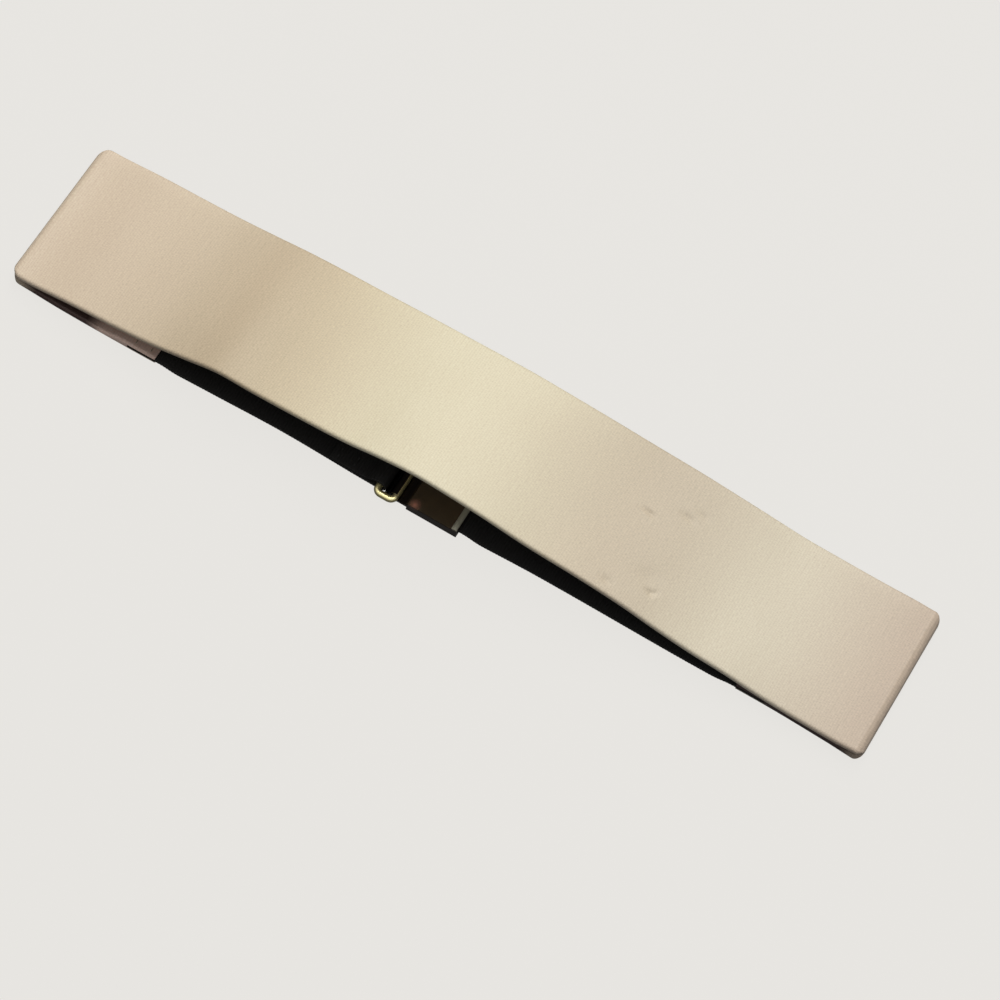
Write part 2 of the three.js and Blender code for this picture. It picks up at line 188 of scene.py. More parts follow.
dents = [
    # place along, place across, depth, half length, half breadth, turn in degrees
    (65.1, 5.6, 0.62, 2.5, 0.85, -8),
    (77.1, 11.8, 0.55, 2.9, 1.2, -8),
    (81.4, 15.6, 0.3, 2.4, 1.1, -10),
    (65.4, -25.2, 0.42, 2.2, 1.3, 0),
    (79.3, -20.0, 0.75, 1.4, 1.0, -20),
    (81.1, -19.2, 0.4, 1.6, 0.9, 56),
    (76.6, -15.4, 0.45, 4.6, 3.6, 20),
]
rib_pitch = 0.92
flat_step = 0.62
fold_step = 0.26


def curve_through(rows, at):
    """Smooth curve through (place, value) rows, level at both ends."""
    places, values = np.array(rows, dtype=float).T
    slopes = np.zeros(len(places))
    slopes[1:-1] = (values[2:] - values[:-2]) / (places[2:] - places[:-2])
    at = np.clip(at, places[0], places[-1])
    row = np.clip(np.searchsorted(places, at, side="right") - 1, 0, len(places) - 2)
    run = places[row + 1] - places[row]
    share = (at - places[row]) / run
    return (
        (2 * share**3 - 3 * share**2 + 1) * values[row]
        + (share**3 - 2 * share**2 + share) * run * slopes[row]
        + (3 * share**2 - 2 * share**3) * values[row + 1]
        + (share**3 - share**2) * run * slopes[row + 1]
    )


left_fold = -half_loop + left_clear / 2 + band_thickness
right_fold = half_loop - right_clear / 2 - band_thickness


def rim_rows(column):
    """Clear heights of one rim, with the heights at which the folds take over."""
    rows = [(row[0] * half_loop, row[column] * arch_height) for row in arch_rows]
    ends = [(left_fold, band_thickness + left_clear), (right_fold, band_thickness + right_clear)]
    return ends[:1] + rows + ends[1:]


near_rows = rim_rows(1)
far_rows = rim_rows(2)


def panel_height(x, y):
    """Height of the middle of the front panel's thickness, dents included."""
    share = (y + band_width / 2) / band_width
    height = (1 - share) * curve_through(near_rows, x) + share * curve_through(far_rows, x)
    for along, across, depth, length, breadth, turn in dents:
        cos, sin = math.cos(math.radians(turn)), math.sin(math.radians(turn))
        run = (x - along) * cos + (y - across) * sin
        rise = (y - across) * cos - (x - along) * sin
        height = height - depth * np.exp(-((run / length) ** 2) - (rise / breadth) ** 2)
    return height + band_thickness / 2


def wander(x):
    """Sideways shift of the back portion."""
    rows = [(row[0] * half_loop, row[1] * band_width) for row in wander_rows]
    return curve_through(rows, x)


def strip_outline(width, rim, inner, outer):
    """Closed outline of a strip's section, along the inner face's places from the near edge and
    back along the outer face's. Each point has its place across, the face that it belongs to,
    and the vector that points out of the cloth there."""
    flat = width / 2 - rim
    corner = np.radians([22.5, 45, 67.5, 90])
    points = []
    for face, across in ((-1, np.array(inner)), (1, np.array(outer)[::-1])):
        way = -face
        for angle in corner[::-1]:
            points.append((-way * (flat + rim * math.sin(angle)), face, -way * math.sin(angle), face * math.cos(angle)))
        for value in across:
            points.append((value, face, 0.0, face))
        for angle in corner:
            points.append((way * (flat + rim * math.sin(angle)), face, way * math.sin(angle), face * math.cos(angle)))
    points.append(points[0])
    return np.array(points)


def outline_lengths(outline, rim):
    """Length from the near edge round to each point of an outline."""
    bends = rim * np.hypot(np.diff(outline[:, 2]), np.diff(outline[:, 3]))
    flats = np.where(bends > 0, 0, np.abs(np.diff(outline[:, 0])))
    return np.concatenate([[0], np.cumsum(flats + bends)])


def woven_strip(name, stations, outline, rim, pitch, depth):
    """Tube of cloth through the stations, each of which says where a point of the outline lies.
    The grid's length follows the stations, its width goes round the outline, and its UV map
    holds the cloth's own flat metres, with the ribs a whole number of pitches apart."""
    count = len(stations["travel"])
    bpy.ops.object.select_all(action="DESELECT")
    bpy.ops.mesh.primitive_grid_add(
        x_subdivisions=count - 1, y_subdivisions=len(outline) - 1, size=2, calc_uvs=True
    )
    strip = bpy.context.object
    strip.name = name
    mesh = strip.data
    co = np.empty(len(mesh.vertices) * 3)
    mesh.vertices.foreach_get("co", co)
    co = co.reshape(-1, 3)
    column = np.rint((co[:, 0] + 1) / 2 * (count - 1)).astype(int)
    row = np.rint((co[:, 1] + 1) / 2 * (len(outline) - 1)).astype(int)
    across, face, out_across, out_up = outline[row].T
    half = stations["thickness"][column] / 2
    travel = stations["travel"][column]
    sway = 0.12 * pitch * np.sin(across / 9.0 + travel / 23.0) + 0.08 * pitch * np.sin(travel / 7.1 - across / 17.0)
    turn = 2 * math.pi * (travel + sway) / pitch
    groove = depth * (0.5 - 0.5 * np.cos(turn)) ** 2
    out = face * (half - rim) + (rim - groove) * out_up
    side = across - groove * out_across
    narrow = 1 - 2 * stations["pull"][column] / band_width
    heading = stations["heading"][column]
    x = stations["x"][column]
    z = stations["z"][column]
    y = side * narrow + stations["shift"][column]
    front = stations["front"][column]
    rise = (panel_height(x + 0.3, side) - panel_height(x - 0.3, side)) / 0.6
    heading = np.where(front, np.arctan(rise), heading)
    z = np.where(front, panel_height(x, side), z)
    places = np.stack([x - out * np.sin(heading), y, z + out * np.cos(heading)], axis=1)
    mesh.vertices.foreach_set("co", (places * 0.001).ravel())
    uv = np.empty(len(mesh.loops) * 2)
    layer = mesh.uv_layers.active
    layer.data.foreach_get("uv", uv)
    uv = uv.reshape(-1, 2)
    round_outline = outline_lengths(outline, rim)
    loop_vertex = np.empty(len(mesh.loops), dtype=int)
    mesh.loops.foreach_get("vertex_index", loop_vertex)
    uv[:, 0] = ((travel + sway) * 0.001)[loop_vertex]
    uv[:, 1] = (round_outline[row] * 0.001)[loop_vertex]
    layer.data.foreach_set("uv", uv.ravel())
    mesh.update()
    bpy.ops.object.mode_set(mode="EDIT")
    bpy.ops.mesh.select_all(action="SELECT")
    bpy.ops.mesh.remove_doubles(threshold=1e-6)
    bpy.ops.mesh.select_all(action="DESELECT")
    bpy.ops.mesh.select_non_manifold()
    bpy.ops.mesh.edge_face_add()
    bpy.ops.mesh.select_all(action="SELECT")
    bpy.ops.mesh.normals_make_consistent(inside=False)
    bpy.ops.object.mode_set(mode="OBJECT")
    return strip


def band_stations():
    """Stations of the tan band from the left sewn end round the loop, closer on the folds."""
    left_end = -half_loop + left_tab
    right_end = half_loop - right_tab
    left_radius = (left_clear + band_thickness) / 2
    right_radius = (right_clear + band_thickness) / 2
    panel_x = np.linspace(left_fold, right_fold, 3000)
    panel_z = panel_height(panel_x, 0 * panel_x)
    panel_run = np.concatenate([[0], np.cumsum(np.hypot(np.diff(panel_x), np.diff(panel_z)))])
    legs = [left_end - left_fold, math.pi * left_radius, panel_run[-1], math.pi * right_radius, right_fold - right_end]
    marks = np.concatenate([[0], np.cumsum(legs)])
    travel = np.concatenate([
        np.linspace(start, end, math.ceil((end - start) / step), endpoint=False)
        for start, end, step in zip(marks, marks[1:], (flat_step, fold_step, flat_step, fold_step, flat_step))
    ] + [marks[-1:]])
    leg = np.clip(np.searchsorted(marks, travel, side="right") - 1, 0, 4)
    into = travel - marks[leg]
    left_turn = into / left_radius
    right_turn = math.pi - into / right_radius
    x = np.select(
        [leg == 0, leg == 1, leg == 2, leg == 3],
        [
            left_end - into,
            left_fold - left_radius * np.sin(left_turn),
            np.interp(into, panel_run, panel_x),
            right_fold + right_radius * np.sin(right_turn),
        ],
        right_fold - into,
    )
    from_end = np.where(leg == 0, into, legs[4] - into)
    sewn_run = slot_depth + fit + band_thickness
    swelling = curve_through([(sewn_run, 1.0), (sewn_run + swell, 0.0)], from_end)
    thickness = np.where((leg == 0) | (leg == 4), band_thickness + (sewn_thickness - band_thickness) * swelling, band_thickness)
    z = np.select(
        [leg == 1, leg == 3],
        [
            band_thickness + left_clear / 2 - left_radius * np.cos(left_turn),
            band_thickness + right_clear / 2 - right_radius * np.cos(right_turn),
        ],
        thickness / 2,
    )
    heading = np.select([leg == 1, leg == 3], [math.pi - left_turn, right_turn - math.pi], math.pi)
    tip_reach = np.select(
        [leg == 1, leg == 3],
        [
            (left_radius + band_thickness / 2) * (1 - np.sin(left_turn)),
            (right_radius + band_thickness / 2) * (1 - np.sin(right_turn)),
        ],
        half_loop - np.abs(x),
    )
    corner = np.where(x < 0, left_corner, right_corner)
    in_corner = np.maximum(0, corner - tip_reach)
    pull = corner - np.sqrt(corner**2 - in_corner**2)
    front = leg == 2
    return {
        "travel": travel, "x": x, "z": z, "heading": heading, "thickness": thickness,
        "pull": pull, "shift": np.where(front, 0.0, wander(x)), "front": front,
    }


outer_places = np.concatenate([
    np.linspace(-28.8, -11.5, 37), np.linspace(-9.0, 1.0, 5), np.linspace(3.0, 18.0, 33), [20.5, 24.5, 28.8]
])
inner_places = np.linspace(-28.8, 28.8, 8)
band_outline = strip_outline(band_width, rim_radius, inner_places, outer_places)
band_run = band_stations()
tan_band = woven_strip("band_webbing", band_run, band_outline, rim_radius, rib_pitch, 0.0)

for end, inward in ((-half_loop + left_tab, -1), (half_loop - right_tab, 1)):
    bpy.ops.object.select_all(action="DESELECT")
    bpy.ops.mesh.primitive_cube_add(size=0.001)
    cutter = bpy.context.object
    bpy.ops.transform.resize(value=(slot_depth + 2, band_width + 8, elastic_thickness + 2 * fit))
    bpy.ops.transform.translate(value=(
        0.001 * (end + inward * (slot_depth - 2) / 2), 0, 0.001 * (leaf + fit + elastic_thickness / 2)
    ))
    bpy.context.view_layer.objects.active = tan_band
    slot_cut = tan_band.modifiers.new("slot_cut", "BOOLEAN")
    slot_cut.operation = "DIFFERENCE"
    slot_cut.object = cutter
    bpy.ops.object.modifier_apply(modifier="slot_cut")
    bpy.data.objects.remove(cutter)
bpy.ops.object.select_all(action="DESELECT")
tan_band.select_set(True)
bpy.context.view_layer.objects.active = tan_band
bpy.ops.object.shade_smooth_by_angle(angle=math.radians(50))


def add_node(tree, kind, place, **settings):
    """Adds a shader node; a setting whose name is an input's sets that input."""
    node = tree.nodes.new(kind)
    node.location = place
    for name, value in settings.items():
        setattr(node, name, value)
    return node


def woven_ribs_group():
    """Height and masks of a ribbed weave on a strip's flat metres: ribs across the strip, yarns
    that cross each rib and step half a yarn from rib to rib, and uneven thickness of the yarn."""
    group = bpy.data.node_groups.new("woven_ribs", "ShaderNodeTree")
    face = group.interface
    face.new_socket("Rib Pitch", in_out="INPUT", socket_type="NodeSocketFloat")
    face.new_socket("Yarn Pitch", in_out="INPUT", socket_type="NodeSocketFloat")
    face.new_socket("Height", in_out="OUTPUT", socket_type="NodeSocketFloat")
    face.new_socket("Groove", in_out="OUTPUT", socket_type="NodeSocketFloat")
    face.new_socket("Uneven", in_out="OUTPUT", socket_type="NodeSocketFloat")
    entry = add_node(group, "NodeGroupInput", (-1400, 0))
    exit_node = add_node(group, "NodeGroupOutput", (900, 0))
    links = group.links
    flat = add_node(group, "ShaderNodeUVMap", (-1400, 300), uv_map="UVMap")
    parts = add_node(group, "ShaderNodeSeparateXYZ", (-1200, 300))
    links.new(flat.outputs["UV"], parts.inputs[0])

    def math_node(operation, place, first, second=None):
        node = add_node(group, "ShaderNodeMath", place, operation=operation)
        for index, value in enumerate((first, second)):
            if value is None:
                continue
            if isinstance(value, (int, float)):
                node.inputs[index].default_value = value
            else:
                links.new(value, node.inputs[index])
        return node.outputs[0]

    rib = math_node("DIVIDE", (-1000, 300), parts.outputs["X"], entry.outputs["Rib Pitch"])
    rib_turn = math_node("MULTIPLY", (-800, 300), rib, 2 * math.pi)
    rib_wave = math_node("COSINE", (-600, 300), rib_turn)
    rib_share = math_node("MULTIPLY_ADD", (-400, 300), rib_wave, -0.5)
    group.nodes[-1].inputs[2].default_value = 0.5
    groove = math_node("POWER", (-200, 300), rib_share, 2.0)
    rib_count = math_node("ROUND", (-800, 0), rib)
    step = math_node("MULTIPLY", (-600, 0), rib_count, 0.5)
    yarn = math_node("DIVIDE", (-1000, -100), parts.outputs["Y"], entry.outputs["Yarn Pitch"])
    stepped = math_node("ADD", (-400, 0), yarn, step)
    yarn_turn = math_node("MULTIPLY", (-200, 0), stepped, 2 * math.pi)
    yarn_wave = math_node("COSINE", (0, 0), yarn_turn)
    spread = add_node(group, "ShaderNodeVectorMath", (-1000, -400), operation="MULTIPLY")
    spread.inputs[1].default_value = (900, 2600, 0)
    links.new(flat.outputs["UV"], spread.inputs[0])
    noise = add_node(group, "ShaderNodeTexNoise", (-800, -400))
    noise.inputs["Scale"].default_value = 1.0
    noise.inputs["Detail"].default_value = 2.0
    links.new(spread.outputs[0], noise.inputs["Vector"])
    yarn_height = math_node("MULTIPLY", (200, 0), yarn_wave, 0.18)
    rib_height = math_node("SUBTRACT", (200, 300), 1.0, groove)
    both = math_node("ADD", (400, 200), rib_height, yarn_height)
    rough = math_node("MULTIPLY", (200, -300), noise.outputs[0], 0.5)
    total = math_node("ADD", (600, 200), both, rough)
    links.new(total, exit_node.inputs["Height"])
    links.new(groove, exit_node.inputs["Groove"])
    links.new(noise.outputs[0], exit_node.inputs["Uneven"])
    return group


woven_ribs = woven_ribs_group()


def woven_material(name, pitch, yarn, shades, groove_share, roughness, bump, patch_scale):
    """Ribbed cloth. Its colour follows a ramp along the belt, from one end fold to the other, and
    changes in soft patches; for the tan band the ramp holds a painted sheen and painted shade
    over the cloth's own tone. The grooves are darkened as painted shade, single yarns are
    uneven, and the weave is a bump."""
    material = bpy.data.materials.new(name)
    material.use_nodes = True
    tree = material.node_tree
    shader = tree.nodes["Principled BSDF"]
    links = tree.links
    weave = add_node(tree, "ShaderNodeGroup", (-900, 0), node_tree=woven_ribs)
    weave.inputs["Rib Pitch"].default_value = pitch * 0.001
    weave.inputs["Yarn Pitch"].default_value = yarn * 0.001
    where = add_node(tree, "ShaderNodeTexCoord", (-1700, 500))
    axes = add_node(tree, "ShaderNodeSeparateXYZ", (-1500, 700))
    links.new(where.outputs["Object"], axes.inputs[0])
    along = add_node(tree, "ShaderNodeMapRange", (-1300, 700))
    along.inputs["From Min"].default_value = -half_loop * 0.001
    along.inputs["From Max"].default_value = half_loop * 0.001
    links.new(axes.outputs["X"], along.inputs["Value"])
    tone_and_sheen_ramp = add_node(tree, "ShaderNodeValToRGB", (-1100, 700), name="tone_and_sheen_ramp")
    tone_and_sheen_ramp.color_ramp.interpolation = "CARDINAL"
    for index, (place, colour) in enumerate(shades):
        if index < 2:
            stop = tone_and_sheen_ramp.color_ramp.elements[index]
            stop.position = place
        else:
            stop = tone_and_sheen_ramp.color_ramp.elements.new(place)
        stop.color = (*colour, 1)
    links.new(along.outputs[0], tone_and_sheen_ramp.inputs[0])
    patches = add_node(tree, "ShaderNodeTexNoise", (-1100, 400))
    patches.inputs["Scale"].default_value = patch_scale
    patches.inputs["Detail"].default_value = 3.0
    links.new(where.outputs["Object"], patches.inputs["Vector"])
    patched = add_node(tree, "ShaderNodeMix", (-700, 500), data_type="RGBA", blend_type="OVERLAY")
    patched.inputs[0].default_value = 0.12
    links.new(tone_and_sheen_ramp.outputs[0], patched.inputs[6])
    links.new(patches.outputs[0], patched.inputs[7])
    # Painted shade: the colour is darkened in the grooves between the ribs, where the rib height is lowest.
    groove_shaded = add_node(tree, "ShaderNodeMix", (-500, 400), data_type="RGBA", blend_type="MULTIPLY")
    links.new(weave.outputs["Groove"], groove_shaded.inputs[0])
    links.new(patched.outputs[2], groove_shaded.inputs[6])
    groove_shaded.inputs[7].default_value = (groove_share, groove_share, groove_share, 1)
    flecks = add_node(tree, "ShaderNodeMix", (-250, 400), data_type="RGBA", blend_type="OVERLAY")
    flecks.inputs[0].default_value = 0.3
    links.new(groove_shaded.outputs[2], flecks.inputs[6])
    links.new(weave.outputs["Uneven"], flecks.inputs[7])
    links.new(flecks.outputs[2], shader.inputs["Base Color"])
    relief = add_node(tree, "ShaderNodeBump", (-300, -200))
    relief.inputs["Distance"].default_value = bump * 0.001
    relief.inputs["Strength"].default_value = 1.0
    links.new(weave.outputs["Height"], relief.inputs["Height"])
    links.new(relief.outputs[0], shader.inputs["Normal"])
    shader.inputs["Roughness"].default_value = roughness
    return material


# The ramp is partly the band's own tone, pinkish at the ends and creamier in the middle, and partly painted light: a
# painted sheen, brightest over the panel's crest near 0.43, and painted shade in the two shallow valleys near 0.25 and
# 0.68.
tan_tone_and_painted_sheen = [
    # place from the left end fold to the right one, colour
    (0.0, (0.59, 0.48, 0.365)),
    (1.0, (0.49, 0.395, 0.31)),
    (0.16, (0.535, 0.44, 0.32)),
    (0.25, (0.475, 0.385, 0.265)),
    (0.34, (0.56, 0.48, 0.335)),
    (0.43, (0.635, 0.575, 0.42)),
    (0.56, (0.595, 0.53, 0.39)),
    (0.68, (0.5, 0.425, 0.32)),
    (0.86, (0.58, 0.515, 0.4)),
]
# Painted light and shade on the inner face and near rim of the band's ends: painted shade, dark brown, by the folds
# where the two layers lie close, and a painted pool of light, pale pink, on the left sewn end.
painted_inside_light_and_shade = [
    # place from the left sewn end round to the right one, colour, share that it covers
    (0.0, (0.92, 0.68, 0.57), 1.0),
    (1.0, (0.08, 0.05, 0.045), 1.0),
    (0.049, (0.92, 0.68, 0.57), 1.0),
    (0.061, (0.08, 0.045, 0.04), 1.0),
    (0.11, (0.08, 0.045, 0.04), 1.0),
    (0.122, (0.08, 0.045, 0.04), 0.0),
    (0.9, (0.08, 0.05, 0.045), 0.0),
    (0.908, (0.08, 0.05, 0.045), 1.0),
]
webbing = woven_material("tan_webbing_weave", rib_pitch, 0.42, tan_tone_and_painted_sheen, 0.93, 0.45, 0.03, 14)


def paint_inside_light_and_shade(material, shades, length, inner_reach, near_rim):
    """Paints light and shade on the inner face and the near rim of the strip's ends: painted shade,
    dark brown, where the two layers lie close together by the folds, and a painted pool of light,
    pale pink, on the left sewn end."""
    tree = material.node_tree
    links = tree.links
    tone_and_sheen_ramp = tree.nodes["tone_and_sheen_ramp"]
    goal = tone_and_sheen_ramp.outputs[0].links[0].to_socket
    flat = add_node(tree, "ShaderNodeUVMap", (-1700, 1300), uv_map="UVMap")
    parts = add_node(tree, "ShaderNodeSeparateXYZ", (-1500, 1300))
    links.new(flat.outputs["UV"], parts.inputs[0])
    place = add_node(tree, "ShaderNodeMath", (-1300, 1400), operation="DIVIDE")
    links.new(parts.outputs["X"], place.inputs[0])
    place.inputs[1].default_value = length
    inside = add_node(tree, "ShaderNodeValToRGB", (-1100, 1400))
    for index, (at, colour, cover) in enumerate(shades):
        if index < 2:
            stop = inside.color_ramp.elements[index]
            stop.position = at
        else:
            stop = inside.color_ramp.elements.new(at)
        stop.color = (*colour, cover)
    links.new(place.outputs[0], inside.inputs[0])
    inner_face = add_node(tree, "ShaderNodeMath", (-1300, 1200), operation="LESS_THAN")
    links.new(parts.outputs["Y"], inner_face.inputs[0])
    inner_face.inputs[1].default_value = inner_reach
    rim_face = add_node(tree, "ShaderNodeMath", (-1300, 1000), operation="GREATER_THAN")
    links.new(parts.outputs["Y"], rim_face.inputs[0])
    rim_face.inputs[1].default_value = near_rim
    either = add_node(tree, "ShaderNodeMath", (-1100, 1100), operation="MAXIMUM")
    links.new(inner_face.outputs[0], either.inputs[0])
    links.new(rim_face.outputs[0], either.inputs[1])
    covered = add_node(tree, "ShaderNodeMath", (-900, 1200), operation="MULTIPLY")
    links.new(either.outputs[0], covered.inputs[0])
    links.new(inside.outputs["Alpha"], covered.inputs[1])
    shaded = add_node(tree, "ShaderNodeMix", (-800, 800), data_type="RGBA")
    links.new(covered.outputs[0], shaded.inputs[0])
    links.new(tone_and_sheen_ramp.outputs[0], shaded.inputs[6])
    links.new(inside.outputs[0], shaded.inputs[7])
    links.new(shaded.outputs[2], goal)


band_length = band_run["travel"][-1] * 0.001
band_round = outline_lengths(band_outline, rim_radius)[-1] * 0.001
paint_inside_light_and_shade(webbing, painted_inside_light_and_shade, band_length, band_round / 2 - 0.0008, band_round - 0.0012)
webbing_shader = webbing.node_tree.nodes["Principled BSDF"]
webbing_shader.inputs["Specular IOR Level"].default_value = 0.3
webbing_shader.inputs["Sheen Weight"].default_value = 0.15
webbing_shader.inputs["Sheen Roughness"].default_value = 0.4
webbing_shader.inputs["Sheen Tint"].default_value = (1.0, 0.95, 0.85, 1)
tan_band.data.materials.clear()
tan_band.data.materials.append(webbing)
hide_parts("tan_band")
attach(tan_band, "root")


# Left elastic. Black ribbed elastic sewn between the band's left leaves. It goes round the far
# bar of the clasp's ring, turns back on itself and is sewn down, which makes the eye.
elastic_rim = 0.5
elastic_rib = 1.1
elastic_rib_depth = 0.09
bar_radius = 1.3
ring_length = 9.4
ring_place = -15.4
ring_far_bar = ring_place - ring_length / 2 + bar_radius
ring_hook_bar = ring_place + ring_length / 2 - bar_radius
bar_height = elastic_thickness + fit + bar_radius
settle = 10.0
eye_fold_back = 20.0
eye_taper = 8.0
sewn_level = leaf + fit + elastic_thickness / 2
on_floor = elastic_thickness / 2
on_strip = elastic_thickness + fit + elastic_thickness / 2
eye_radius = bar_radius + fit + elastic_thickness / 2


def bend(start, start_pull, end_pull, end):
    """Points of a smooth bend between two places, drawn by its two pulls."""
    t = np.linspace(0, 1, 40)[:, None]
    a, b, c, d = (np.array(place, dtype=float) for place in (start, start_pull, end_pull, end))
    return (1 - t) ** 3 * a + 3 * (1 - t) ** 2 * t * b + 3 * (1 - t) * t**2 * c + t**3 * d


def arc(centre, radius, start, end):
    """Points of an arc, with its angles in degrees."""
    turn = np.radians(np.linspace(start, end, 60))
    return np.stack([centre[0] + radius * np.cos(turn), centre[1] + radius * np.sin(turn)], axis=1)


def elastic_stations(route):
    """Stations a quarter of a rib apart along a route of places in the XZ plane."""
    points = np.concatenate([np.atleast_2d(np.array(leg, dtype=float)) for leg in route])
    keep = np.concatenate([[True], np.hypot(*np.diff(points, axis=0).T) > 1e-6])
    points = points[keep]
    run = np.concatenate([[0], np.cumsum(np.hypot(*np.diff(points, axis=0).T))])
    count = int(round(run[-1] / (elastic_rib / 4))) + 1
    travel = np.linspace(0, run[-1], count)
    x = np.interp(travel, run, points[:, 0])
    z = np.interp(travel, run, points[:, 1])
    step = 0.2
    ahead = [np.interp(travel + step, run, points[:, axis]) for axis in (0, 1)]
    behind = [np.interp(travel - step, run, points[:, axis]) for axis in (0, 1)]
    heading = np.arctan2(ahead[1] - behind[1], ahead[0] - behind[0])
    nothing = np.zeros(count)
    return {
        "travel": travel, "x": x, "z": z, "heading": heading,
        "thickness": nothing + elastic_thickness, "pull": nothing, "shift": wander(x),
        "front": nothing.astype(bool),
    }


left_mouth = -half_loop + left_tab + fit
left_settled = left_mouth + settle
crotch = ring_far_bar - eye_taper
left_route = [
    (-half_loop + left_tab - slot_depth + fit, sewn_level),
    bend(
        (left_mouth, sewn_level), (left_mouth + settle / 2, sewn_level),
        (left_settled - settle / 2, on_floor), (left_settled, on_floor),
    ),
    arc((ring_far_bar, bar_height), eye_radius, -90, 90),
    bend(
        (ring_far_bar, bar_height + eye_radius), (ring_far_bar - eye_taper / 2, bar_height + eye_radius),
        (crotch + eye_taper / 2, on_strip), (crotch, on_strip),
    ),
    (ring_far_bar - eye_fold_back, on_strip),
]
elastic_places = np.linspace(-29.5, 29.5, 16)
elastic_outline = strip_outline(band_width, elastic_rim, elastic_places, elastic_places)
left_run = elastic_stations(left_route)
left_elastic = woven_strip(
    "left_elastic", left_run, elastic_outline, elastic_rim, elastic_rib, elastic_rib_depth
)
bpy.ops.object.shade_smooth_by_angle(angle=math.radians(60))
black_shades = [(0.0, (0.0105, 0.0095, 0.0085)), (1.0, (0.0085, 0.008, 0.008))]
black_weave = woven_material("black_elastic_weave", elastic_rib, 0.5, black_shades, 0.4, 0.7, 0.05, 60)
black_weave.node_tree.nodes["Principled BSDF"].inputs["Specular IOR Level"].default_value = 0.3
left_elastic.data.materials.clear()
left_elastic.data.materials.append(black_weave)
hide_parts("elastic_left")
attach(left_elastic, "root")


# Right elastic. The same black elastic, gripped in the hook plate's channel and sewn between
# the band's right leaves.
plate_end = 12.4
throat_length = 6.4
web_length = 2.2
in_channel = bar_height - bar_radius + elastic_thickness / 2
web_start = ring_hook_bar - bar_radius - fit + throat_length
web_end = web_start + web_length
plate_mouth = plate_end + fit
right_settled = plate_mouth + settle
right_mouth = half_loop - right_tab - fit
right_rising = right_mouth - settle
right_route = [
    (web_end + fit, in_channel),
    bend(
        (plate_mouth, in_channel), (plate_mouth + settle / 2, in_channel),
        (right_settled - settle / 2, on_floor), (right_settled, on_floor),
    ),
    bend(
        (right_rising, on_floor), (right_rising + settle / 2, on_floor),
        (right_mouth - settle / 2, sewn_level), (right_mouth, sewn_level),
    ),
    (half_loop - right_tab + slot_depth - fit, sewn_level),
]
right_run = elastic_stations(right_route)
right_elastic = woven_strip(
    "right_elastic", right_run, elastic_outline, elastic_rim, elastic_rib, elastic_rib_depth
)
bpy.ops.object.shade_smooth_by_angle(angle=math.radians(60))
right_elastic.data.materials.clear()
right_elastic.data.materials.append(black_weave)
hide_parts("elastic_right")
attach(right_elastic, "root")


# Stitching. Short lock stitches of polyester thread in two rows across each sewn end, in the
# band's own tan, and two rows in black where the elastic's eye is closed.
stitch_length = 2.3
stitch_pitch = 2.9


def thread_material(name, colour):
    """Plain twisted thread: fine slanting plies in the bump, with the colour darkened in the hollows between them as
    painted shade.
    """
    material = bpy.data.materials.new(name)
    material.use_nodes = True
    tree = material.node_tree
    shader = tree.nodes["Principled BSDF"]
    where = add_node(tree, "ShaderNodeTexCoord", (-1000, 0))
    plies = add_node(tree, "ShaderNodeTexWave", (-800, 0), wave_type="BANDS", bands_direction="DIAGONAL")
    plies.inputs["Scale"].default_value = 900.0
    plies.inputs["Distortion"].default_value = 0.6
    tree.links.new(where.outputs["Object"], plies.inputs["Vector"])
    # Painted shade: the colour is darker in the hollows between the plies, where the bump is low.
    shade = add_node(tree, "ShaderNodeMix", (-400, 200), data_type="RGBA")
    shade.inputs[6].default_value = (*(0.7 * value for value in colour), 1)
    shade.inputs[7].default_value = (*colour, 1)
    tree.links.new(plies.outputs[0], shade.inputs[0])
    tree.links.new(shade.outputs[2], shader.inputs["Base Color"])
    relief = add_node(tree, "ShaderNodeBump", (-400, -200))
    relief.inputs["Distance"].default_value = 0.00005
    tree.links.new(plies.outputs[0], relief.inputs["Height"])
    tree.links.new(relief.outputs[0], shader.inputs["Normal"])
    shader.inputs["Roughness"].default_value = 0.55
    return material


def stitch_rows(name, rows, material):
    """Rows of stitches across the belt. A row is its place along, its level, and which face it
    lies on: 1 for the face that looks up and -1 for the face on the floor."""
    bpy.ops.object.select_all(action="DESELECT")
    bpy.ops.mesh.primitive_uv_sphere_add(segments=8, ring_count=6, radius=0.001)
    first = bpy.context.object
    co = np.empty(len(first.data.vertices) * 3)
    first.data.vertices.foreach_get("co", co)
    shape = co.reshape(-1, 3)[:, [0, 2, 1]] * (0.27, stitch_length / 2, 0.2)
    shape[:, 2] -= 0.00022 * (shape[:, 1] / (0.0005 * stitch_length)) ** 2
    made = []
    count = int((band_width - 4) // stitch_pitch)
    for along, level, face in rows:
        shift = float(wander(along))
        for place in range(count + 1):
            stitch = first.copy()
            stitch.data = first.data.copy()
            bpy.context.collection.objects.link(stitch)
            spot = np.array((along, (place - count / 2) * stitch_pitch + shift, level)) * 0.001
            stitch.data.vertices.foreach_set("co", (shape * (1, 1, face) + spot).ravel())
            made.append(stitch)
    bpy.data.objects.remove(first)
    bpy.ops.object.select_all(action="DESELECT")
    for stitch in made:
        stitch.select_set(True)
    bpy.context.view_layer.objects.active = made[0]
    bpy.ops.object.join()
    joined = bpy.context.object
    joined.name = name
    bpy.ops.object.mode_set(mode="EDIT")
    bpy.ops.mesh.select_all(action="SELECT")
    bpy.ops.mesh.normals_make_consistent(inside=False)
    bpy.ops.object.mode_set(mode="OBJECT")
    bpy.ops.object.shade_smooth()
    joined.data.materials.append(material)
    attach(joined, "root")
    return joined


